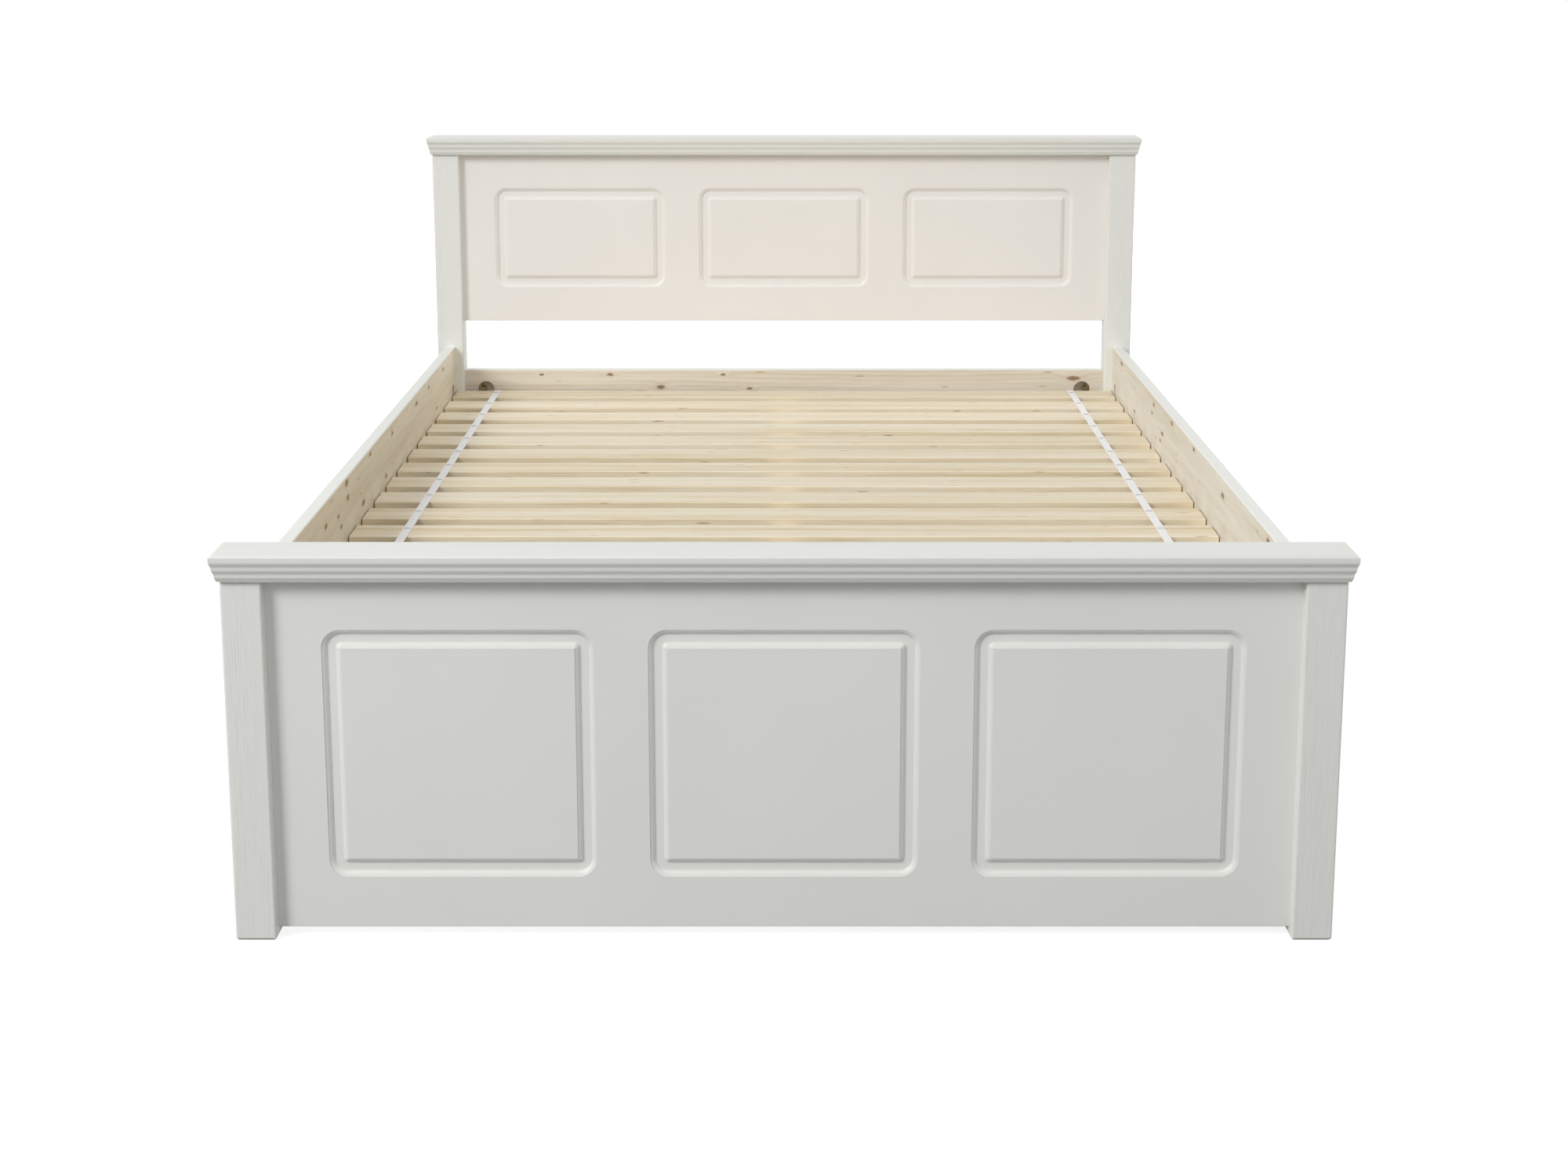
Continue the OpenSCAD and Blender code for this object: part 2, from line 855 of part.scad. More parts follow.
module drawer_front(end) {
    h = front_top_z - front_z;
    scoop_r = (scoop_w * scoop_w / 4 + scoop_d * scoop_d) / (2 * scoop_d);
    color(white_paint)
        at_drawer(end)
            difference() {
                translate([front_back_x + front_t / 2, 0, front_z + h / 2])
                    bar_y(front_t, h, drawer_w, board_edge_r);
                translate([rail_out_x, 0, front_z + h / 2])
                    rotate([90, 0, 90])
                        field_row(drawer_w, h, front_fields);
                translate([rail_out_x, 0, front_top_z - scoop_d + scoop_r])
                    rotate([0, 90, 0])
                        cylinder(r = scoop_r, h = 4 * front_t, center = true, $fn = 180);
            }
}

module drawer_side(end, side) {
    length = front_back_x - drawer_back_x;
    color(pine)
        at_drawer(end)
            translate([
                drawer_back_x + length / 2,
                side * (box_w - box_t) / 2,
                box_z + box_h / 2
            ])
                bar_x(box_t, box_h, length, box_edge_r);
}

module drawer_back(end) {
    color(pine)
        at_drawer(end)
            translate([drawer_back_x + box_t / 2, 0, box_z + box_h / 2])
                bar_y(box_t, box_h, box_w - 2 * box_t, box_edge_r);
}

module drawer_bottom(end) {
    color(pine_strip)
        at_drawer(end)
            translate([drawer_back_x, -box_w / 2, fork_top_z])
                cube([front_back_x - drawer_back_x, box_w, bottom_t]);
}

// Steel fork with its riveted axle, under one corner of a drawer
module castor_fork() {
    cheek_y = wheel_w / 2 + fork_gap;
    plate_z = fork_top_z - fork_t;
    translate([-fork_l / 2, -fork_w / 2, plate_z])
        cube([fork_l, fork_w, fork_t]);
    for (side = [-1, 1])
        translate([0, side * (cheek_y + fork_t / 2), 0])
            rotate([90, 0, 0])
                linear_extrude(height = fork_t, center = true)
                    fork_cheek(plate_z + fork_t / 2);
    translate([0, 0, axle_z])
        rotate([90, 0, 0])
            cylinder(d = axle_d, h = fork_w + 2 * rivet_h, center = true);
}

module fork_cheek(top) {
    translate([0, axle_z])
        circle(r = fork_eye_r);
    polygon([
        [-fork_eye_r, axle_z],
        [fork_eye_r, axle_z],
        [fork_l / 2 - fork_t, top],
        [-fork_l / 2 + fork_t, top]
    ]);
}

module drawer_castors(end) {
    color(zinc)
        at_drawer(end)
            for (x = castor_x, side = [-1, 1])
                translate([x, side * castor_y, 0])
                    castor_fork();
}

// Half of a wheel's section: x runs outwards from the axle, y along it
module wheel_section() {
    r = wheel_d / 2;
    bore = axle_d / 2 + axle_gap;
    difference() {
        union() {
            translate([bore, wheel_edge_r - wheel_w / 2])
                square([r - bore, wheel_w - 2 * wheel_edge_r]);
            translate([bore, -wheel_w / 2])
                square([r - wheel_edge_r - bore, wheel_w]);
            for (side = [-1, 1])
                translate([r - wheel_edge_r, side * (wheel_w / 2 - wheel_edge_r)])
                    circle(r = wheel_edge_r);
        }
        for (side = [-1, 1])
            translate([(hub_d / 2 + r - wheel_rim) / 2, side * wheel_w / 2])
                square([r - wheel_rim - hub_d / 2, 2 * wheel_recess], center = true);
    }
}

// Wheels 1 and 2 are at the back of the drawer, 3 and 4 behind its front
module drawer_wheel(end, i) {
    color(grey_plastic)
        at_drawer(end)
            translate([castor_x[floor((i - 1) / 2)], (i % 2 == 1 ? -1 : 1) * castor_y, axle_z])
                rotate([90, 0, 0])
                    rotate_extrude($fn = 96)
                        wheel_section();
}

// Each piece by its name

post(-1, -1, foot_post_h, foot_panel_z);  // foot_post_left
post(1, -1, foot_post_h, foot_panel_z);  // foot_post_right
post(-1, 1, head_post_h, head_panel_z);  // head_post_left
post(1, 1, head_post_h, head_panel_z);  // head_post_right
cap(-1, foot_post_h);  // foot_cap
cap(1, head_post_h);  // head_cap
end_panel(-1, foot_panel_z, foot_post_h);  // foot_panel
end_panel(1, head_panel_z, head_post_h);  // head_panel
side_rail(-1);  // side_rail_left
side_rail(1);  // side_rail_right
head_rail();
slat_ledge(-1);  // slat_ledge_left
slat_ledge(1);  // slat_ledge_right
centre_beam();
beam_hangers();
centre_leg();
for (i = [1 : slat_count])
    slat(i);
ribbon(-1);  // ribbon_left
ribbon(1);  // ribbon_right
staples();
connector_bolts();
half_moon_washers();
connector_nuts();
dowels();
wood_screws();
for (end = [-1, 1]) {
    name = end > 0 ? "head_drawer" : "foot_drawer";
    drawer_front(end);
    drawer_side(end, -1);
    drawer_side(end, 1);
    drawer_back(end);
    drawer_bottom(end);
    drawer_castors(end);
    for (i = [1 : 4])
        drawer_wheel(end, i);
}
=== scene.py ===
"""Looks of a white lacquered pine storage bed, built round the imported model.

Lengths are in metres unless a name ends in mm. X runs across the bed, Y from foot to head, Z up.
"""

import math

import bpy
import numpy as np
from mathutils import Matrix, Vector


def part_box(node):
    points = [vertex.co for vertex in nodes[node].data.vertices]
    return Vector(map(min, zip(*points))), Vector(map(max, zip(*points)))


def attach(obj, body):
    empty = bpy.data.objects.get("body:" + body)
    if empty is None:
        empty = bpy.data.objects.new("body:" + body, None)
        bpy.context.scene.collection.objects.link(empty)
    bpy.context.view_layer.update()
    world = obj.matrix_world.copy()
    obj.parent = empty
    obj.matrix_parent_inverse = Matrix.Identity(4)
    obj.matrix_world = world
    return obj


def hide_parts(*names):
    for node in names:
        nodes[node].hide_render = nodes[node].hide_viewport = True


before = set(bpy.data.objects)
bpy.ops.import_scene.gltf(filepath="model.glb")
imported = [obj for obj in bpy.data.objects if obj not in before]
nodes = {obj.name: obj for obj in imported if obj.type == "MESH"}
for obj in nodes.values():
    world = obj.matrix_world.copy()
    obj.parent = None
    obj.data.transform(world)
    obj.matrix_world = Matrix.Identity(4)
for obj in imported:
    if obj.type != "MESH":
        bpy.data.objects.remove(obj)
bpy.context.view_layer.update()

MM = 0.001
X, Y, Z = 0, 1, 2

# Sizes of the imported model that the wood's lacquer, the slats' grain and the ribbons follow
RAIL_OUTER_X = 0.7245
RAIL_BOTTOM_Z = 0.302
RAIL_TOP_Z = 0.482
HEAD_RAIL_BACK_Y = 1.041
HEAD_RAIL_BOTTOM_Z = 0.344
HEAD_RAIL_TOP_Z = 0.430
FIRST_SLAT_Y = 0.962
SLAT_PITCH = 0.12543
SLAT_WIDTH = 0.080
SLAT_COUNT = 16
SLAT_TOP_Z = 0.387
RIBBON_X = 0.614
RIBBON_WIDTH = 0.0145


def linear(hex_colour):
    """Linear RGBA of an sRGB colour written as "#rrggbb"."""
    parts = [int(hex_colour[i:i + 2], 16) / 255 for i in (1, 3, 5)]
    return [c / 12.92 if c <= 0.04045 else ((c + 0.055) / 1.055) ** 2.4 for c in parts] + [1]


def add(tree, kind, inputs=None, stops=None, **settings):
    """Adds one node with its settings. inputs gives a socket, by name or number, a value, an output
    or a node, whose first output is then taken. stops are a ramp's places and colours."""
    node = tree.nodes.new(kind)
    for name, value in settings.items():
        setattr(node, name, value)
    for socket, value in (inputs or {}).items():
        if isinstance(value, bpy.types.Node):
            value = value.outputs[0]
        if isinstance(value, bpy.types.NodeSocket):
            tree.links.new(value, node.inputs[socket])
        else:
            node.inputs[socket].default_value = value
    for i, (place, colour) in enumerate(stops or []):
        ramp = node.color_ramp.elements
        stop = ramp[i] if i < 2 else ramp.new(place)
        stop.position = place
        stop.color = linear(colour)
    return node


def start_material(name):
    """A new material and its tree, with nothing in it yet."""
    made = bpy.data.materials.new(name)
    made.use_nodes = True
    made.node_tree.nodes.clear()
    return made, made.node_tree


def put(name, verts, faces, material):
    """A mesh of these points and faces with one material, as an object in the scene."""
    mesh = bpy.data.meshes.new(name)
    mesh.from_pydata(np.reshape(verts, (-1, 3)), [], faces)
    mesh.materials.append(material)
    made = bpy.data.objects.new(name, mesh)
    bpy.context.scene.collection.objects.link(made)
    return made


# Camera: it looks down at the bed from the foot end. The photo's camera is level, with its frame raised.
# This one is tilted with only a small shift, because every other view keeps the shift.

CAMERA_PLACE = (0, -4.147, 1.306)
CAMERA_TILT_DEGREES = 11.81
CAMERA_LENS_MM = 55.95
CAMERA_SHIFT = -0.08

bpy.context.scene.view_settings.view_transform = "Standard"

camera = bpy.data.objects.new("camera", bpy.data.cameras.new("camera"))
bpy.context.scene.collection.objects.link(camera)
bpy.context.scene.camera = camera
camera.location = CAMERA_PLACE
camera.rotation_euler = (math.radians(90 - CAMERA_TILT_DEGREES), 0, 0)
camera.data.lens = CAMERA_LENS_MM
camera.data.shift_y = CAMERA_SHIFT


# Light

def softbox(name, place, aim, width, height, watts):
    """A rectangular lamp at a place, turned to face a point."""
    data = bpy.data.lights.new(name, "AREA")
    data.shape = "RECTANGLE"
    data.size = width
    data.size_y = height
    data.energy = watts
    lamp = bpy.data.objects.new(name, data)
    bpy.context.scene.collection.objects.link(lamp)
    lamp.location = place
    lamp.rotation_euler = (Vector(aim) - Vector(place)).to_track_quat("-Z", "Y").to_euler()
    return lamp


# The large lamps in front aim at a point between the foot end and the middle of the bed
LAMP_AIM = (0, -0.3, 0.4)
softbox("key_softbox", (-5.82, -6.32, 5.15), LAMP_AIM, 3.0, 3.0, 436)
softbox("side_softbox", (-7.06, -4.58, 4.2), LAMP_AIM, 6.0, 6.0, 107)
softbox("fill_softbox", (5.24, -6.75, 4.2), LAMP_AIM, 6.0, 6.0, 112)
softbox("top_softbox", (0, 0.2, 4.4), (0, 0.2, 0.4), 3.0, 3.0, 17)
# A low lamp for the drawer fronts: from its height it doesn't reach over the rails into the bed
softbox("low_softbox", (5.2, 0.3, 0.35), (0.7, 0, 0.2), 4.0, 0.6, 45)
# The lamp behind the head end stays out of reflections, where it would glare on the caps
back_softbox = softbox("back_softbox", (1.5, 8.0, 2.4), (0, 0.5, 0.4), 4.0, 3.0, 195)
back_softbox.visible_glossy = False


def seen_ray(tree):
    """1 for rays that come from the camera, a reflection or a clear piece, and 0 for rays of light."""
    rays = add(tree, "ShaderNodeLightPath")
    seen = add(tree, "ShaderNodeMath", {
        0: rays.outputs["Is Camera Ray"], 1: rays.outputs["Is Glossy Ray"]}, operation="MAXIMUM")
    return add(tree, "ShaderNodeMath", {
        0: seen, 1: rays.outputs["Is Transmission Ray"]}, operation="MAXIMUM")


SKY_STRENGTH = 0.40
world = bpy.data.worlds.new("studio")
bpy.context.scene.world = world
world.use_nodes = True
tree = world.node_tree
tree.nodes.clear()
sky = add(tree, "ShaderNodeBackground", {"Color": linear("#ffffff"), "Strength": SKY_STRENGTH})
white = add(tree, "ShaderNodeBackground", {"Color": linear("#ffffff"), "Strength": 1.0})
background = add(tree, "ShaderNodeMixShader", {0: seen_ray(tree), 1: sky, 2: white})
add(tree, "ShaderNodeOutputWorld", {0: background})


# Sizes of patterns

def per_metre(size_mm):
    """How often a pattern of this size repeats in a metre."""
    return 1000 / size_mm


def stretch(along, long_mm, wide_mm):
    """Scale of a pattern that repeats about every long_mm with the grain and every wide_mm across it."""
    scale = [per_metre(wide_mm)] * 3
    scale[along] = per_metre(long_mm)
    return scale


# White lacquer, on pine and on board

def lacquered_pine(name, along, depth):
    """Pine under sprayed white satin lacquer: the film follows the growth rings, so fine wavy ridges
    run with the grain, deeper in some bands than in others, and the tone hardly changes. depth is the
    height of the ridges."""
    made, tree = start_material(name)
    place = add(tree, "ShaderNodeTexCoord").outputs["Object"]
    fine = add(tree, "ShaderNodeVectorMath", {0: place, 1: stretch(along, 60, 2.2)}, operation="MULTIPLY")
    fine = add(tree, "ShaderNodeTexNoise", {"Vector": fine, "Scale": 1.0, "Detail": 2.0, "Distortion": 0.8})
    broad = add(tree, "ShaderNodeVectorMath", {0: place, 1: stretch(along, 500, 18)}, operation="MULTIPLY")
    broad = add(tree, "ShaderNodeTexNoise", {"Vector": broad, "Scale": 1.0, "Detail": 1.0})
    band = add(tree, "ShaderNodeMapRange", {
        "Value": broad, "From Min": 0.42, "From Max": 0.62, "To Min": 0.1, "To Max": 1.0})
    ridge = add(tree, "ShaderNodeMath", {0: fine, 1: 0.5}, operation="SUBTRACT")
    ridge = add(tree, "ShaderNodeMath", {0: ridge, 1: band}, operation="MULTIPLY")
    ridge = add(tree, "ShaderNodeMath", {0: ridge, 1: 0.5}, operation="ADD")
    colour = add(tree, "ShaderNodeValToRGB", {0: ridge}, [
        (0.30, "#ebece7"), (0.50, "#e9eae5"), (0.70, "#e3e4de")])
    relief = add(tree, "ShaderNodeBump", {"Height": ridge, "Distance": depth, "Strength": 1.0})
    gloss = add(tree, "ShaderNodeMapRange", {"Value": fine, "To Min": 0.38, "To Max": 0.48})
    surface = add(tree, "ShaderNodeBsdfPrincipled", {
        "Base Color": colour, "Roughness": gloss, "Normal": relief, "IOR": 1.5})
    add(tree, "ShaderNodeOutputMaterial", {0: surface})
    return made


def lacquered_board(name, pale, dark):
    """Routed fibreboard under the same lacquer: no grain, only the faint orange peel of a sprayed film,
    about 3 mm across. pale and dark are the two tones that it hardly drifts between."""
    made, tree = start_material(name)
    place = add(tree, "ShaderNodeTexCoord").outputs["Object"]
    peel = add(tree, "ShaderNodeTexNoise", {"Vector": place, "Scale": per_metre(2.9), "Detail": 1.0})
    cloud = add(tree, "ShaderNodeTexNoise", {"Vector": place, "Scale": per_metre(250), "Detail": 2.0})
    colour = add(tree, "ShaderNodeValToRGB", {0: cloud}, [(0.3, pale), (0.7, dark)])
    relief = add(tree, "ShaderNodeBump", {"Height": peel, "Distance": 0.00005, "Strength": 0.6})
    gloss = add(tree, "ShaderNodeMapRange", {"Value": cloud, "To Min": 0.38, "To Max": 0.46})
    surface = add(tree, "ShaderNodeBsdfPrincipled", {
        "Base Color": colour, "Roughness": gloss, "Normal": relief, "IOR": 1.5})
    add(tree, "ShaderNodeOutputMaterial", {0: surface})
    return made


# Pine left bare

# The most that a board's own grain is shifted on each axis
BOARD_SHIFT = (5.0, 0.31, 0.43)
# Distance between growth rings, and the length after which Blender's wave of scale 1 repeats
RING_PITCH = 0.0042
WAVE_LENGTH = 0.314
# Where the middle line of the rings passes the origin
RING_MIDDLE = (0.31, 0.27, 0.23)
# One resin fleck in each cell of this length and width
FLECK_CELL_LONG = 0.190
FLECK_CELL_WIDE = 0.034
# How far the lacquer on a rail's back, bottom and top comes round the edges
BACK_WRAP = 0.002
BOTTOM_WRAP = 0.0015
TOP_WRAP = 0.0012


def shift_by_board(tree, place, axis, first, step):
    """The place plus a random shift of each board's own, so that no two boards show the same grain.
    Board number n is at first + n times step on the axis."""
    parts = add(tree, "ShaderNodeSeparateXYZ", {0: place})
    number = add(tree, "ShaderNodeMath", {0: parts.outputs[axis], 1: first}, operation="SUBTRACT")
    number = add(tree, "ShaderNodeMath", {0: number, 1: step}, operation="DIVIDE")
    number = add(tree, "ShaderNodeMath", {0: number}, operation="ROUND")
    board = add(tree, "ShaderNodeTexWhiteNoise", {"W": number}, noise_dimensions="1D")
    shift = add(tree, "ShaderNodeVectorMath", {
        0: board.outputs["Color"], 1: BOARD_SHIFT}, operation="MULTIPLY")
    return add(tree, "ShaderNodeVectorMath", {0: place, 1: shift}, operation="ADD")


def knot_distance(tree, place, knots_mm, plane):
    """Distance from the nearest knot as a share of the knot's own size, 1 at its rim, plus a noise of
    6 mm that makes the rim ragged. A knot is an ellipse in the two axes of plane: its place on both,
    its half length and its half height."""
    nearest = None
    for at_mm, up_mm, half_length_mm, half_height_mm in knots_mm:
        centre = [0, 0, 0]
        centre[plane[0]] = at_mm * MM
        centre[plane[1]] = up_mm * MM
        per_size = [0, 0, 0]
        per_size[plane[0]] = per_metre(half_length_mm)
        per_size[plane[1]] = per_metre(half_height_mm)
        away = add(tree, "ShaderNodeVectorMath", {0: place, 1: centre}, operation="SUBTRACT")
        away = add(tree, "ShaderNodeVectorMath", {0: away, 1: per_size}, operation="MULTIPLY")
        away = add(tree, "ShaderNodeVectorMath", {0: away}, operation="LENGTH").outputs["Value"]
        if nearest is not None:
            away = add(tree, "ShaderNodeMath", {0: nearest, 1: away}, operation="MINIMUM")
        nearest = away
    ragged = add(tree, "ShaderNodeTexNoise", {"Vector": place, "Scale": per_metre(6.25), "Detail": 1.0})
    return add(tree, "ShaderNodeMath", {0: ragged, 1: 0.7, 2: nearest}, operation="MULTIPLY_ADD")


def growth_rings(tree, place, along):
    """Rings round a line that runs with the grain beside the boards. Each is a slow rise from early
    wood to late wood and a sharp fall. They wander, nine times as slowly with the grain as across it."""
    place = add(tree, "ShaderNodeVectorMath", {0: place, 1: stretch(along, 9000, 1000)}, operation="MULTIPLY")
    place = add(tree, "ShaderNodeVectorMath", {0: place, 1: RING_MIDDLE}, operation="ADD")
    rings = add(tree, "ShaderNodeTexWave", {
        "Vector": place, "Scale": WAVE_LENGTH / RING_PITCH, "Distortion": 9.0, "Detail": 2.0,
        "Detail Scale": 0.12}, wave_type="RINGS", rings_direction="XYZ"[along], wave_profile="SAW")
    return rings.outputs["Fac"]


def resin_flecks(tree, place, along, fine):
    """How much a point belongs to a short brown resin fleck. The cells of the flecks lie on two
    coordinates: the one with the grain, and the sum of the other two. fine makes them ragged."""
    parts = add(tree, "ShaderNodeSeparateXYZ", {0: place})
    run = add(tree, "ShaderNodeMath", {
        0: parts.outputs[along], 1: 1 / FLECK_CELL_LONG}, operation="MULTIPLY")
    over = add(tree, "ShaderNodeMath", {
        0: parts.outputs[(along + 1) % 3], 1: parts.outputs[(along + 2) % 3]}, operation="ADD")
    over = add(tree, "ShaderNodeMath", {0: over, 1: 1 / FLECK_CELL_WIDE}, operation="MULTIPLY")
    cell = add(tree, "ShaderNodeCombineXYZ", {0: run, 1: over})
    fleck = add(tree, "ShaderNodeTexVoronoi", {"Vector": cell, "Scale": 1.0}, voronoi_dimensions="2D")
    ragged = add(tree, "ShaderNodeMath", {0: fine, 1: 0.14, 2: fleck}, operation="MULTIPLY_ADD")
    there = add(tree, "ShaderNodeMapRange", {
        "Value": ragged, "From Min": 0.085, "From Max": 0.135, "To Min": 0.75, "To Max": 0.0})
    strength = add(tree, "ShaderNodeSeparateColor", {0: fleck.outputs["Color"]})
    return add(tree, "ShaderNodeMath", {0: there, 1: strength}, operation="MULTIPLY")


def bare_share(tree, place, back_axis, back, bottom, top):
    """1 on a rail's bare inner face, and 0 where lacquer covers its back, bottom and top. Both sides
    of the bed's middle count alike."""
    parts = add(tree, "ShaderNodeVectorMath", {0: place}, operation="ABSOLUTE")
    parts = add(tree, "ShaderNodeSeparateXYZ", {0: parts})
    before = add(tree, "ShaderNodeMath", {
        0: parts.outputs[back_axis], 1: back - BACK_WRAP}, operation="LESS_THAN")
    above = add(tree, "ShaderNodeMath", {
        0: parts.outputs[Z], 1: bottom + BOTTOM_WRAP}, operation="GREATER_THAN")
    below = add(tree, "ShaderNodeMath", {0: parts.outputs[Z], 1: top - TOP_WRAP}, operation="LESS_THAN")
    bare = add(tree, "ShaderNodeMath", {0: above, 1: below}, operation="MULTIPLY")
    return add(tree, "ShaderNodeMath", {0: bare, 1: before}, operation="MULTIPLY")


def pine_boards(name, along, tones, board_step=None, knots_mm=(), knot_plane=(), lacquered=None):
    """Planed pine, waxed at most: pale sapwood with growth rings cut lengthwise, broad soft bands,
    short brown resin flecks and, on the rails, knots at the places given, which the grain flows round.
    tones are the wood's colours from early wood to late wood. board_step is the axis, first place and
    step of separate boards. lacquered is a rail's back axis and its back, bottom and top, which are
    white."""
    made, tree = start_material(name)
    place = add(tree, "ShaderNodeTexCoord").outputs["Object"]
    grain_place = shift_by_board(tree, place, *board_step) if board_step else place
    if knots_mm:
        knot = knot_distance(tree, place, knots_mm, knot_plane)
        swell = add(tree, "ShaderNodeMapRange", {
            "Value": knot, "From Min": 0.5, "From Max": 4.5, "To Min": 0.003, "To Max": 0.0},
            interpolation_type="SMOOTHERSTEP")
        grain_place = add(tree, "ShaderNodeVectorMath", {0: grain_place, 1: swell}, operation="ADD")

    # Four patterns make the grain: fine lines, streaks, broad bands, and rings that show in some bands
    fine = add(tree, "ShaderNodeVectorMath", {
        0: grain_place, 1: stretch(along, 70, 2.2)}, operation="MULTIPLY")
    fine = add(tree, "ShaderNodeTexNoise", {"Vector": fine, "Scale": 1.0, "Detail": 2.0})
    streak = add(tree, "ShaderNodeVectorMath", {
        0: grain_place, 1: stretch(along, 170, 7)}, operation="MULTIPLY")
    streak = add(tree, "ShaderNodeTexNoise", {"Vector": streak, "Scale": 1.0, "Detail": 2.0})
    broad = add(tree, "ShaderNodeVectorMath", {
        0: grain_place, 1: stretch(along, 1100, 32)}, operation="MULTIPLY")
    broad = add(tree, "ShaderNodeTexNoise", {"Vector": broad, "Scale": 1.0, "Detail": 1.0})
    shown = add(tree, "ShaderNodeMapRange", {
        "Value": broad, "From Min": 0.40, "From Max": 0.65, "To Min": 0.03, "To Max": 0.16})
    rings = growth_rings(tree, grain_place, along)
    grain = add(tree, "ShaderNodeMath", {0: rings, 1: shown}, operation="MULTIPLY")
    for pattern, share in ((fine, 0.24), (streak, 0.27), (broad, 0.26)):
        grain = add(tree, "ShaderNodeMath", {0: pattern, 1: share, 2: grain}, operation="MULTIPLY_ADD")

    wood = add(tree, "ShaderNodeValToRGB", {0: grain}, zip((0.26, 0.42, 0.60), tones))
    flecks = resin_flecks(tree, grain_place, along, fine)
    colour = add(tree, "ShaderNodeMix", {0: flecks, 6: wood, 7: linear("#a87b4c")}, data_type="RGBA")
    colour = colour.outputs[2]
    if knots_mm:
        heart = add(tree, "ShaderNodeValToRGB", {0: knot}, [
            (0.3, "#745a3e"), (0.9, "#937757"), (1.2, "#6d553b")])
        edge = add(tree, "ShaderNodeMapRange", {
            "Value": knot, "From Min": 0.95, "From Max": 1.45, "To Min": 0.92, "To Max": 0.0})
        halo = add(tree, "ShaderNodeMapRange", {
            "Value": knot, "From Min": 1.1, "From Max": 2.6, "To Min": 0.22, "To Max": 0.0})
        colour = add(tree, "ShaderNodeMix", {0: halo, 6: colour, 7: linear("#c99f6d")}, data_type="RGBA")
        colour = colour.outputs[2]
        colour = add(tree, "ShaderNodeMix", {0: edge, 6: colour, 7: heart}, data_type="RGBA")
        colour = colour.outputs[2]
    relief = add(tree, "ShaderNodeBump", {"Height": grain, "Distance": 0.0003, "Strength": 0.5})
    gloss = add(tree, "ShaderNodeMapRange", {"Value": grain, "To Min": 0.52, "To Max": 0.66})
    surface = add(tree, "ShaderNodeBsdfPrincipled", {
        "Base Color": colour, "Roughness": gloss, "Normal": relief, "IOR": 1.5})
    if lacquered:
        # This lacquer is paler than the same white lacquer on the caps, posts and boards: painted light on
        # the rails' white top edges
        lacquer = add(tree, "ShaderNodeBsdfPrincipled", {
            "Base Color": linear("#f1f2ec"), "Roughness": 0.42, "Normal": relief, "IOR": 1.5})
        surface = add(tree, "ShaderNodeMixShader", {
            0: bare_share(tree, place, *lacquered), 1: lacquer, 2: surface})
    add(tree, "ShaderNodeOutputMaterial", {0: surface})
    return made


# Knots on the rails' inner faces: place along the rail, height, half length, half height
LEFT_RAIL_KNOTS_MM = [
    (808, 466, 12, 3.2), (599, 465, 11, 3.4), (437, 463, 16, 4.4), (142, 463, 12, 3.6),
    (-95, 473, 12, 4.0), (702, 405, 10, 3.0), (-323, 473, 14, 6.0), (-316, 447, 12, 5.2),
    (-176, 407, 14, 6.4), (60, 402, 12, 4.6), (-404, 436, 10, 3.6), (-509, 445, 12, 4.6),
    (-382, 415, 9, 4.2), (-700, 352, 16, 6.0), (-860, 440, 11, 4.0), (330, 345, 13, 4.5),
]
RIGHT_RAIL_KNOTS_MM = [
    (857, 470, 17, 4.6), (406, 466, 11, 3.4), (189, 472, 13, 4.2), (656, 407, 10, 3.4),
    (427, 447, 9, 3.0), (295, 432, 14, 4.4), (315, 415, 10, 3.0), (-53, 473, 12, 4.0),
    (-338, 455, 15, 5.6), (-709, 470, 14, 5.0), (-560, 350, 13, 4.6), (60, 340, 12, 4.4),
]
HEAD_RAIL_KNOTS_MM = [
    (-521, 419, 5.5, 2.8), (-374, 419, 8.0, 3.6), (-131, 419, 6.0, 2.8), (-265, 392, 10, 5.0),
    (-74, 389, 7.0, 3.0), (622, 411, 15, 5.5), (300, 358, 9.0, 4.0),
]


# Metal, beech, plastic and webbing

def plated_steel(name, pale, dark, least, most):
    """Zinc on pressed steel: a metal a little cloudy from one centimetre to the next, with rolling
    marks of 1 mm. pale and dark are its two tones, least and most its roughness."""
    made, tree = start_material(name)
    place = add(tree, "ShaderNodeTexCoord").outputs["Object"]
    cloud = add(tree, "ShaderNodeTexNoise", {"Vector": place, "Scale": per_metre(16.7), "Detail": 3.0})
    marks = add(tree, "ShaderNodeTexNoise", {"Vector": place, "Scale": per_metre(1.1), "Detail": 2.0})
    colour = add(tree, "ShaderNodeValToRGB", {0: cloud}, [(0.3, pale), (0.7, dark)])
    gloss = add(tree, "ShaderNodeMapRange", {"Value": marks, "To Min": least, "To Max": most})
    relief = add(tree, "ShaderNodeBump", {"Height": marks, "Distance": 0.00004, "Strength": 0.5})
    surface = add(tree, "ShaderNodeBsdfPrincipled", {
        "Base Color": colour, "Metallic": 1.0, "Roughness": gloss, "Normal": relief})
    add(tree, "ShaderNodeOutputMaterial", {0: surface})
    return made


def turned_beech(name):
    """Beech dowel rod: an even pinkish tan with darker ray flecks of 2 mm."""
    made, tree = start_material(name)
    place = add(tree, "ShaderNodeTexCoord").outputs["Object"]
    ray = add(tree, "ShaderNodeTexNoise", {"Vector": place, "Scale": per_metre(2.4), "Detail": 2.0})
    colour = add(tree, "ShaderNodeValToRGB", {0: ray}, [(0.35, "#dcbd97"), (0.65, "#c79f73")])
    relief = add(tree, "ShaderNodeBump", {"Height": ray, "Distance": 0.0001, "Strength": 0.5})
    surface = add(tree, "ShaderNodeBsdfPrincipled", {
        "Base Color": colour, "Roughness": 0.55, "Normal": relief, "IOR": 1.5})
    add(tree, "ShaderNodeOutputMaterial", {0: surface})
    return made


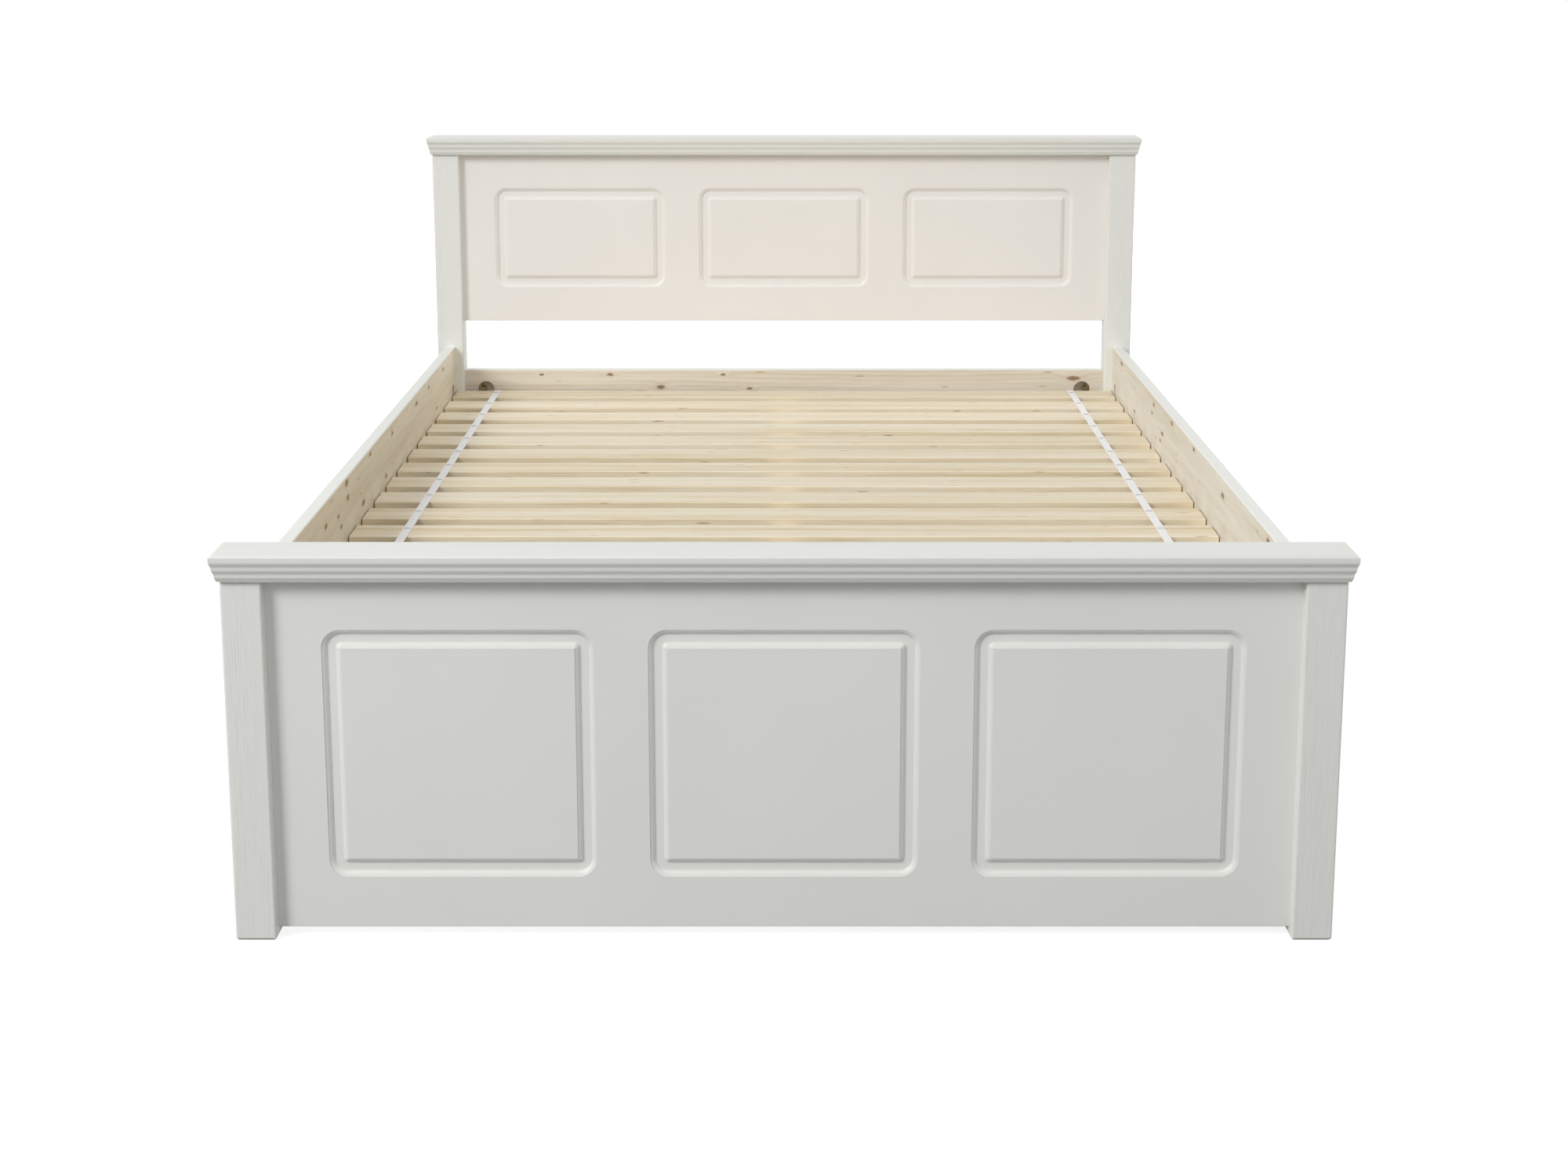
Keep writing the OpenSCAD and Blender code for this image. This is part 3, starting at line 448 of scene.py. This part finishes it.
def moulded_plastic(name):
    """Injection-moulded polypropylene, mid grey, with the spark-eroded grain of its mould. The real
    grain is about 0.1 mm; it is drawn 0.9 mm wide, as fine as a close view can show."""
    made, tree = start_material(name)
    place = add(tree, "ShaderNodeTexCoord").outputs["Object"]
    spark = add(tree, "ShaderNodeTexNoise", {"Vector": place, "Scale": per_metre(0.9), "Detail": 2.0})
    colour = add(tree, "ShaderNodeValToRGB", {0: spark}, [(0.3, "#8b8e90"), (0.7, "#83868a")])
    relief = add(tree, "ShaderNodeBump", {"Height": spark, "Distance": 0.00008, "Strength": 0.6})
    surface = add(tree, "ShaderNodeBsdfPrincipled", {
        "Base Color": colour, "Roughness": 0.5, "Normal": relief, "IOR": 1.49})
    add(tree, "ShaderNodeOutputMaterial", {0: surface})
    return made


# The ribs and warp threads are really 0.6 mm apart; they are drawn as fine as the render can show
TAPE_RIB_PITCH = 0.0016
TAPE_WARP_PITCH = 0.0012


def woven_tape(name):
    """Woven polyester tape, silver white: weft ribs across it and warp threads along it, each a sine
    wave, and their product is the weave. The UV map is in metres, U across the tape and V along it."""
    made, tree = start_material(name)
    place = add(tree, "ShaderNodeUVMap", uv_map="tape_metres")
    parts = add(tree, "ShaderNodeSeparateXYZ", {0: place})
    rib = add(tree, "ShaderNodeMath", {
        0: parts.outputs["Y"], 1: 2 * math.pi / TAPE_RIB_PITCH}, operation="MULTIPLY")
    rib = add(tree, "ShaderNodeMath", {0: rib}, operation="SINE")
    warp = add(tree, "ShaderNodeMath", {
        0: parts.outputs["X"], 1: 2 * math.pi / TAPE_WARP_PITCH}, operation="MULTIPLY")
    warp = add(tree, "ShaderNodeMath", {0: warp}, operation="SINE")
    weave = add(tree, "ShaderNodeMath", {0: rib, 1: warp}, operation="MULTIPLY")
    weave = add(tree, "ShaderNodeMapRange", {"Value": weave, "From Min": -1.0, "From Max": 1.0})
    worn = add(tree, "ShaderNodeTexNoise", {"Vector": place, "Scale": per_metre(11), "Detail": 2.0})
    tone = add(tree, "ShaderNodeMath", {0: weave, 1: 0.5, 2: worn}, operation="MULTIPLY_ADD")
    colour = add(tree, "ShaderNodeValToRGB", {0: tone}, [(0.3, "#f6f6f7"), (1.0, "#fefeff")])
    relief = add(tree, "ShaderNodeBump", {"Height": weave, "Distance": 0.0001, "Strength": 0.5})
    surface = add(tree, "ShaderNodeBsdfPrincipled", {
        "Base Color": colour, "Roughness": 0.7, "Normal": relief, "Sheen Weight": 0.15,
        "Sheen Roughness": 0.4})
    add(tree, "ShaderNodeOutputMaterial", {0: surface})
    return made


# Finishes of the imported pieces

def dress(material, *names):
    """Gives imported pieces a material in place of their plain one."""
    for name in names:
        nodes[name].data.materials.clear()
        nodes[name].data.materials.append(material)


across_lacquer = lacquered_pine("white_lacquered_pine_across", X, 0.0002)
dress(lacquered_pine("white_lacquered_pine_upright", Z, 0.0005),
      "foot_post_left", "foot_post_right", "head_post_left", "head_post_right")
dress(lacquered_board("white_lacquered_board", "#ebece7", "#e8e9e4"),
      "foot_panel", "head_drawer_front", "foot_drawer_front")
# The head board has the same lacquer made paler and warmer: painted light that stands in for the warm light
# thrown up from the slats
dress(lacquered_board("white_board_lacquer_painted_bounce", "#f0ede9", "#edeae6"), "head_panel")

side_rail_lacquer = (X, RAIL_OUTER_X, RAIL_BOTTOM_Z, RAIL_TOP_Z)
dress(pine_boards("pine_left_rail", Y, ("#ede4d2", "#e4d9c3", "#d7c7a9"), knots_mm=LEFT_RAIL_KNOTS_MM,
                  knot_plane=(Y, Z), lacquered=side_rail_lacquer), "side_rail_left")
dress(pine_boards("pine_right_rail", Y, ("#eee9df", "#e6e1d5", "#d9cfbb"), knots_mm=RIGHT_RAIL_KNOTS_MM,
                  knot_plane=(Y, Z), lacquered=side_rail_lacquer), "side_rail_right")
head_rail_lacquer = (Y, HEAD_RAIL_BACK_Y, HEAD_RAIL_BOTTOM_Z, HEAD_RAIL_TOP_Z)
dress(pine_boards("pine_head_rail", X, ("#e9e1d3", "#dfd7c8", "#d0c4b0"), knots_mm=HEAD_RAIL_KNOTS_MM,
                  knot_plane=(X, Z), lacquered=head_rail_lacquer), "head_rail")

SLAT_NAMES = [f"slat_{i + 1:02d}" for i in range(SLAT_COUNT)]
dress(pine_boards("pine_slats", X, ("#f9f0dd", "#f1e4ca", "#dfcda8"), (Y, FIRST_SLAT_Y, -SLAT_PITCH)),
      *SLAT_NAMES)

# Pine that the photo doesn't show takes a tone between the rails' and the slats'
STRIP_TONES = ("#f4ead5", "#ebdec4", "#d9c7a3")
# The drawers' bottoms are glued up from strips of this width
GLUED_STRIP = 0.062
dress(pine_boards("pine_along_bed", Y, STRIP_TONES),
      "slat_ledge_left", "slat_ledge_right", "centre_beam", "head_drawer_back", "foot_drawer_back")
dress(pine_boards("pine_upright", Z, STRIP_TONES), "centre_leg")
dress(pine_boards("pine_across_bed", X, STRIP_TONES),
      "head_drawer_left_side", "head_drawer_right_side", "foot_drawer_left_side",
      "foot_drawer_right_side")
dress(pine_boards("pine_glued_board", X, STRIP_TONES, (Y, 0.0, GLUED_STRIP)),
      "head_drawer_bottom", "foot_drawer_bottom")

dress(plated_steel("bright_zinc_steel", "#c3c7ca", "#aeb3b7", 0.26, 0.42),
      "wood_screws", "beam_hangers", "head_drawer_castors", "foot_drawer_castors")
# Yellow-passivated zinc, darker and rougher than the bright zinc: partly its own finish, partly painted
# shade, as these parts are seen only in the shaded pockets of the rails
dress(plated_steel("yellow_zinc_steel_painted_shade", "#9c8e70", "#85775a", 0.58, 0.74),
      "connector_bolts", "half_moon_washers", "connector_nuts")
# The staple wire is greyer than the bright zinc: partly duller wire, partly painted shade for the groove that
# the staples press into the tape
dress(plated_steel("staple_wire_painted_shade", "#a6a9ab", "#96999c", 0.40, 0.52), "staples")
dress(turned_beech("beech"), "dowels")
dress(moulded_plastic("moulded_grey_plastic"),
      *(f"{end}_drawer_wheel_{i}" for end in ("head", "foot") for i in (1, 2, 3, 4)))


def ring_corners(rings, count):
    """Numbers of the first two points, a and b, of each quad between one ring of count points and the
    next. The other two are a + count and b + count."""
    a = np.arange(rings - 1)[:, None] * count + np.arange(count)
    b = np.arange(rings - 1)[:, None] * count + (np.arange(count) + 1) % count
    return a, b


# The two caps

# Where the reeded fascia ends and the bevel of the top starts, height of a reed, how far each stands
# back from the one above it, and how strongly the outline swells on it
FASCIA_FOOT_MM = 29.2
REED_PITCH_MM = 10.4
REED_FALL_MM = 3.6
REED_SWELL = 0.78
CAP_STEPS = 48
# Heights and insets of the bevelled rim
CAP_RIM_MM = [(34.3, 0.0), (34.8, 1.2), (35.4, 4.0), (35.8, 7.0), (36.0, 10.0)]
# At its two ends a cap stands out less, by this share of the insets
END_SHARE = 0.72
CAP_SHARP_DEGREES = 28
# Half of the groove under each cap that takes its board, and the groove's depth
CAP_GROOVE_HALF_X = 0.6952
CAP_GROOVE_HALF_Y = 0.0097
CAP_GROOVE_DEPTH = 0.0082


def cap_outline_mm():
    """Height and inset of the cap's outline, from its bottom to its top. Under the fascia it falls
    back in waves: the inset is the fall times (u - swell sin(2 pi u) / (2 pi)), with u the height
    under the fascia's foot as a share of the pitch. So it is nearly upright on each reed and slants
    most in the grooves. Then comes the rim."""
    height = np.linspace(0, FASCIA_FOOT_MM, CAP_STEPS)
    u = (FASCIA_FOOT_MM - height) / REED_PITCH_MM
    inset = REED_FALL_MM * (u - REED_SWELL * np.sin(2 * np.pi * u) / (2 * np.pi))
    return np.vstack([np.stack([height, inset], axis=1), CAP_RIM_MM])


def cap(name, node):
    """A reeded cap mitred at its four corners: its outline is carried round a rectangle, each point as
    a ring that lies inside the node's box by its inset. Underneath is the groove that takes the board."""
    low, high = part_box(node)
    half_x = (high.x - low.x) / 2
    half_y = (high.y - low.y) / 2
    height, inset = cap_outline_mm().T * MM
    rings = np.stack([half_x - END_SHARE * inset, half_y - inset, height], axis=1)
    groove = [(CAP_GROOVE_HALF_X, CAP_GROOVE_HALF_Y, CAP_GROOVE_DEPTH),
              (CAP_GROOVE_HALF_X, CAP_GROOVE_HALF_Y, 0)]
    rings = np.vstack([groove, rings])
    corners = np.array([(-1, -1), (1, -1), (1, 1), (-1, 1)])
    verts = np.empty((len(rings), 4, 3))
    verts[:, :, :2] = rings[:, None, :2] * corners + ((low.x + high.x) / 2, (low.y + high.y) / 2)
    verts[:, :, 2] = rings[:, None, 2] + low.z
    a, b = ring_corners(len(rings), 4)
    quads = np.stack([a, b, b + 4, a + 4], axis=-1).reshape(-1, 4).tolist()
    top = 4 * (len(rings) - 1)
    closed = [[3, 2, 1, 0], [top, top + 1, top + 2, top + 3]]
    made = put(name, verts, quads + closed, across_lacquer)
    made.data.shade_smooth()
    made.data.set_sharp_from_angle(angle=math.radians(CAP_SHARP_DEGREES))
    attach(made, "frame")
    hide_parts(node)


cap("foot_cap_moulding", "foot_cap")
cap("head_cap_moulding", "head_cap")


# The two ribbons that join the slats

TAPE_THICK = 0.0009
TAPE_SAG = 0.0005
STEPS_PER_PITCH = 24
SECTION_POINTS = 12
# Power that squares the tape's oval section: 1 is an ellipse and 0 a rectangle
TAPE_SQUARENESS = 0.35
tape = woven_tape("silver_white_woven_tape")


def ribbon(name, node, middle_x):
    """A tape laid over the slats. It is flat on each slat and hangs between two of them by the sag
    times the sine of how far into the gap it is. Its section is a flat oval with round edges."""
    low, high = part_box(node)
    y = np.linspace(low.y, high.y, 1 + STEPS_PER_PITCH * (SLAT_COUNT - 1))
    from_slat = np.abs((y - FIRST_SLAT_Y + SLAT_PITCH / 2) % SLAT_PITCH - SLAT_PITCH / 2)
    into_gap = np.clip((from_slat - SLAT_WIDTH / 2) / (SLAT_PITCH - SLAT_WIDTH) * 2, 0, 1)
    z = SLAT_TOP_Z + TAPE_THICK / 2 - TAPE_SAG * np.sin(into_gap * math.pi / 2)
    turn = np.linspace(0, 2 * math.pi, SECTION_POINTS, endpoint=False)
    round_off = np.sign(np.cos(turn)) * np.abs(np.cos(turn)) ** TAPE_SQUARENESS
    verts = np.empty((len(y), SECTION_POINTS, 3))
    verts[:, :, 0] = middle_x + RIBBON_WIDTH / 2 * round_off
    verts[:, :, 1] = y[:, None]
    verts[:, :, 2] = z[:, None] + TAPE_THICK / 2 * np.sin(turn)
    a, b = ring_corners(len(y), SECTION_POINTS)
    quads = np.stack([a, a + SECTION_POINTS, b + SECTION_POINTS, b], axis=-1).reshape(-1, 4).tolist()
    last = (len(y) - 1) * SECTION_POINTS
    closed = [list(range(SECTION_POINTS)), list(range(last, last + SECTION_POINTS))[::-1]]
    made = put(name, verts, quads + closed, tape)
    loops = np.empty(len(made.data.loops), np.int32)
    made.data.loops.foreach_get("vertex_index", loops)
    uv = made.data.uv_layers.new(name="tape_metres")
    uv.data.foreach_set("uv", verts.reshape(-1, 3)[loops][:, [0, 1]].ravel())
    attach(made, "frame")
    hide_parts(node)


ribbon("woven_ribbon_left", "ribbon_left", -RIBBON_X)
ribbon("woven_ribbon_right", "ribbon_right", RIBBON_X)


# Floor

FLOOR_HALF = 9
# The floor is a little grey under the bed, which keeps its shadow, and turns white between these distances
FLOOR_GREY_WITHIN = 1.6
FLOOR_WHITE_BEYOND = 3.2


def studio_floor(name):
    """Matt paper: rays of light find it mid grey, so that it throws little light up at the bed, and
    the rays that are seen find a paler grey with a glow that brings it up to white."""
    made, tree = start_material(name)
    place = add(tree, "ShaderNodeTexCoord").outputs["Object"]
    away = add(tree, "ShaderNodeVectorMath", {0: place}, operation="LENGTH").outputs["Value"]
    glow = add(tree, "ShaderNodeMapRange", {
        "Value": away, "From Min": FLOOR_GREY_WITHIN, "From Max": FLOOR_WHITE_BEYOND,
        "To Min": 0.86, "To Max": 1.0}, interpolation_type="SMOOTHSTEP")
    grey = add(tree, "ShaderNodeBsdfDiffuse", {"Color": linear("#6c6c6c")})
    dim = add(tree, "ShaderNodeBsdfDiffuse", {"Color": linear("#8a8a8a")})
    light = add(tree, "ShaderNodeEmission", {"Strength": glow})
    pale = add(tree, "ShaderNodeAddShader", {0: dim, 1: light})
    both = add(tree, "ShaderNodeMixShader", {0: seen_ray(tree), 1: grey, 2: pale})
    add(tree, "ShaderNodeOutputMaterial", {0: both})
    return made


floor_corners = FLOOR_HALF * np.array([(-1, -1, 0), (1, -1, 0), (1, 1, 0), (-1, 1, 0)])
floor = put("floor", floor_corners, [(0, 1, 2, 3)], studio_floor("studio_floor"))
